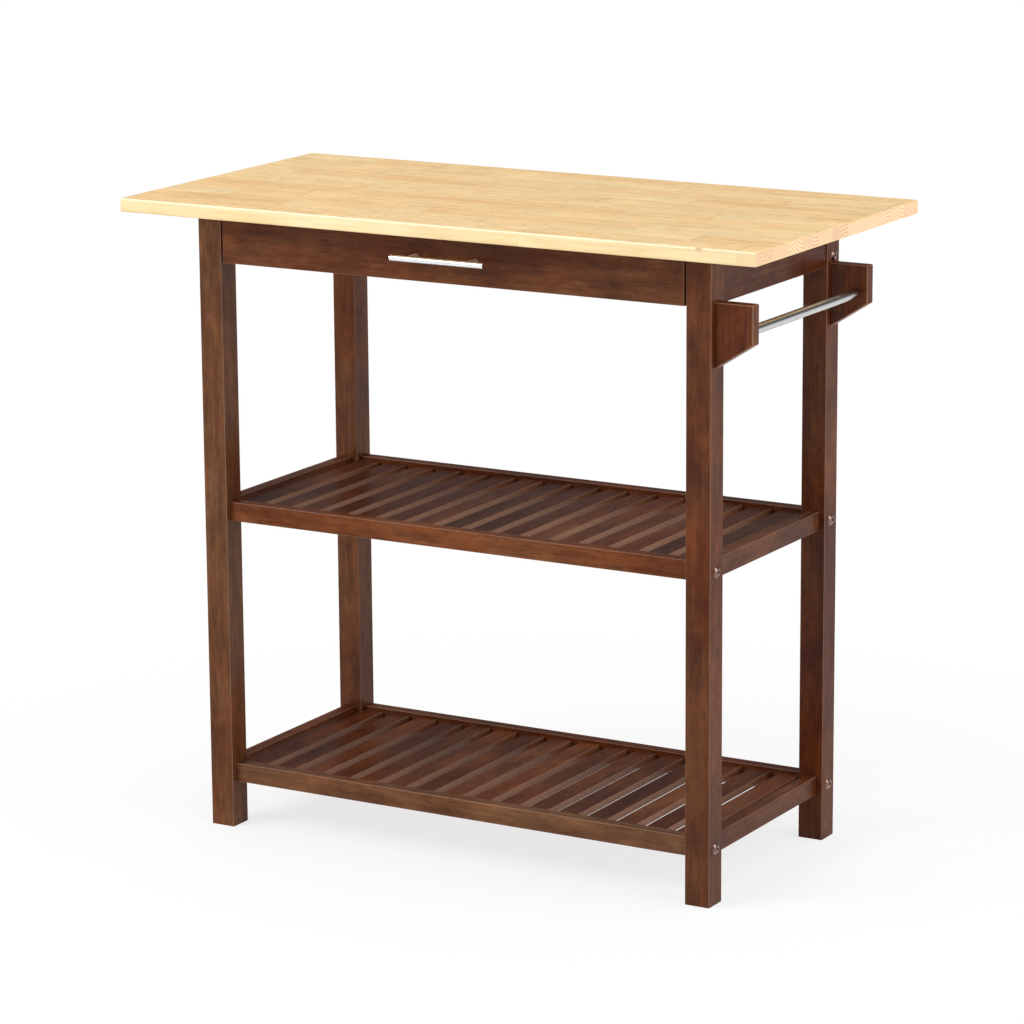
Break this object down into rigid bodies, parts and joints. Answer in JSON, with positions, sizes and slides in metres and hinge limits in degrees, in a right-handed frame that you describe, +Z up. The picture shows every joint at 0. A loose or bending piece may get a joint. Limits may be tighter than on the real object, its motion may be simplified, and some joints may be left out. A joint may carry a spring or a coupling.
{
  "type": "kitchen island",
  "caption": "Freestanding kitchen island with a butcher-block top, a shallow drawer, slatted shelves and a towel bar at one end.",
  "frame": {"origin": "on the floor under the middle of the leg frame", "axes": "+X to the right along the length, +Y to the back, +Z up"},
  "size_m": [1.016, 0.508, 0.9334],
  "materials": {
    "butcher_block": "satin lacquer over glued light hardwood staves",
    "dark_wood": "walnut-brown stain under semi-gloss lacquer",
    "cleat_wood": "walnut-brown stain, thin lacquer",
    "box_wood": "clear lacquer",
    "plywood": "clear lacquer",
    "beech": "bare, fluted",
    "chrome": "polished plating",
    "bronzed_steel": "bronze-brown plating",
    "zinc_steel": "zinc plated"
  },
  "bodies": {
    "frame": {"back_apron": "dark_wood", "barrel_nuts": "zinc_steel", "frame_bolts": "bronzed_steel", "frame_dowels": "beech", "leg_front_left": "dark_wood", "leg_front_right": "dark_wood", "leg_rear_left": "dark_wood", "leg_rear_right": "dark_wood", "lower_shelf_front_cleat": "cleat_wood", "lower_shelf_front_rail": "dark_wood", "lower_shelf_left_rail": "dark_wood", "lower_shelf_rear_cleat": "cleat_wood", "lower_shelf_rear_rail": "dark_wood", "lower_shelf_right_rail": "dark_wood", "lower_shelf_slats": "dark_wood", "middle_shelf_front_cleat": "cleat_wood", "middle_shelf_front_rail": "dark_wood", "middle_shelf_left_rail": "dark_wood", "middle_shelf_rear_cleat": "cleat_wood", "middle_shelf_rear_rail": "dark_wood", "middle_shelf_right_rail": "dark_wood", "middle_shelf_slats": "dark_wood", "side_apron_left": "dark_wood", "side_apron_right": "dark_wood", "slide_frame_screws": "zinc_steel", "slide_outer_left": "zinc_steel", "slide_outer_right": "zinc_steel", "slide_packer_left": "cleat_wood", "slide_packer_right": "cleat_wood", "towel_bar": "chrome", "towel_bracket_front": "dark_wood", "towel_bracket_rear": "dark_wood", "towel_bracket_screws": "zinc_steel", "worktop": "butcher_block", "worktop_clip_screws": "zinc_steel", "worktop_clips": "zinc_steel"},
    "slide_carriers": {"slide_middle_left": "zinc_steel", "slide_middle_right": "zinc_steel"},
    "drawer": {"drawer_front": "dark_wood", "drawer_side_left": "box_wood", "drawer_side_right": "box_wood", "drawer_back": "box_wood", "drawer_bottom": "plywood", "drawer_dowels": "beech", "drawer_back_screws": "zinc_steel", "handle_bar": "chrome", "handle_post_left": "chrome", "handle_post_right": "chrome", "handle_screws": "zinc_steel", "slide_inner_left": "zinc_steel", "slide_inner_right": "zinc_steel", "slide_drawer_screws": "zinc_steel"}
  },
  "joints": [
    {"name": "drawer_slide", "type": "slide", "parent": "frame", "child": "drawer", "axis": [0, -1, 0], "range_m": [0, 0.25]},
    {"name": "slide_extension", "type": "slide", "parent": "frame", "child": "slide_carriers", "axis": [0, -1, 0], "range_m": [0, 0.125]}
  ],
  "couplings": [
    {"joint": "slide_extension", "follows": "drawer_slide", "ratio": 0.5}
  ]
}
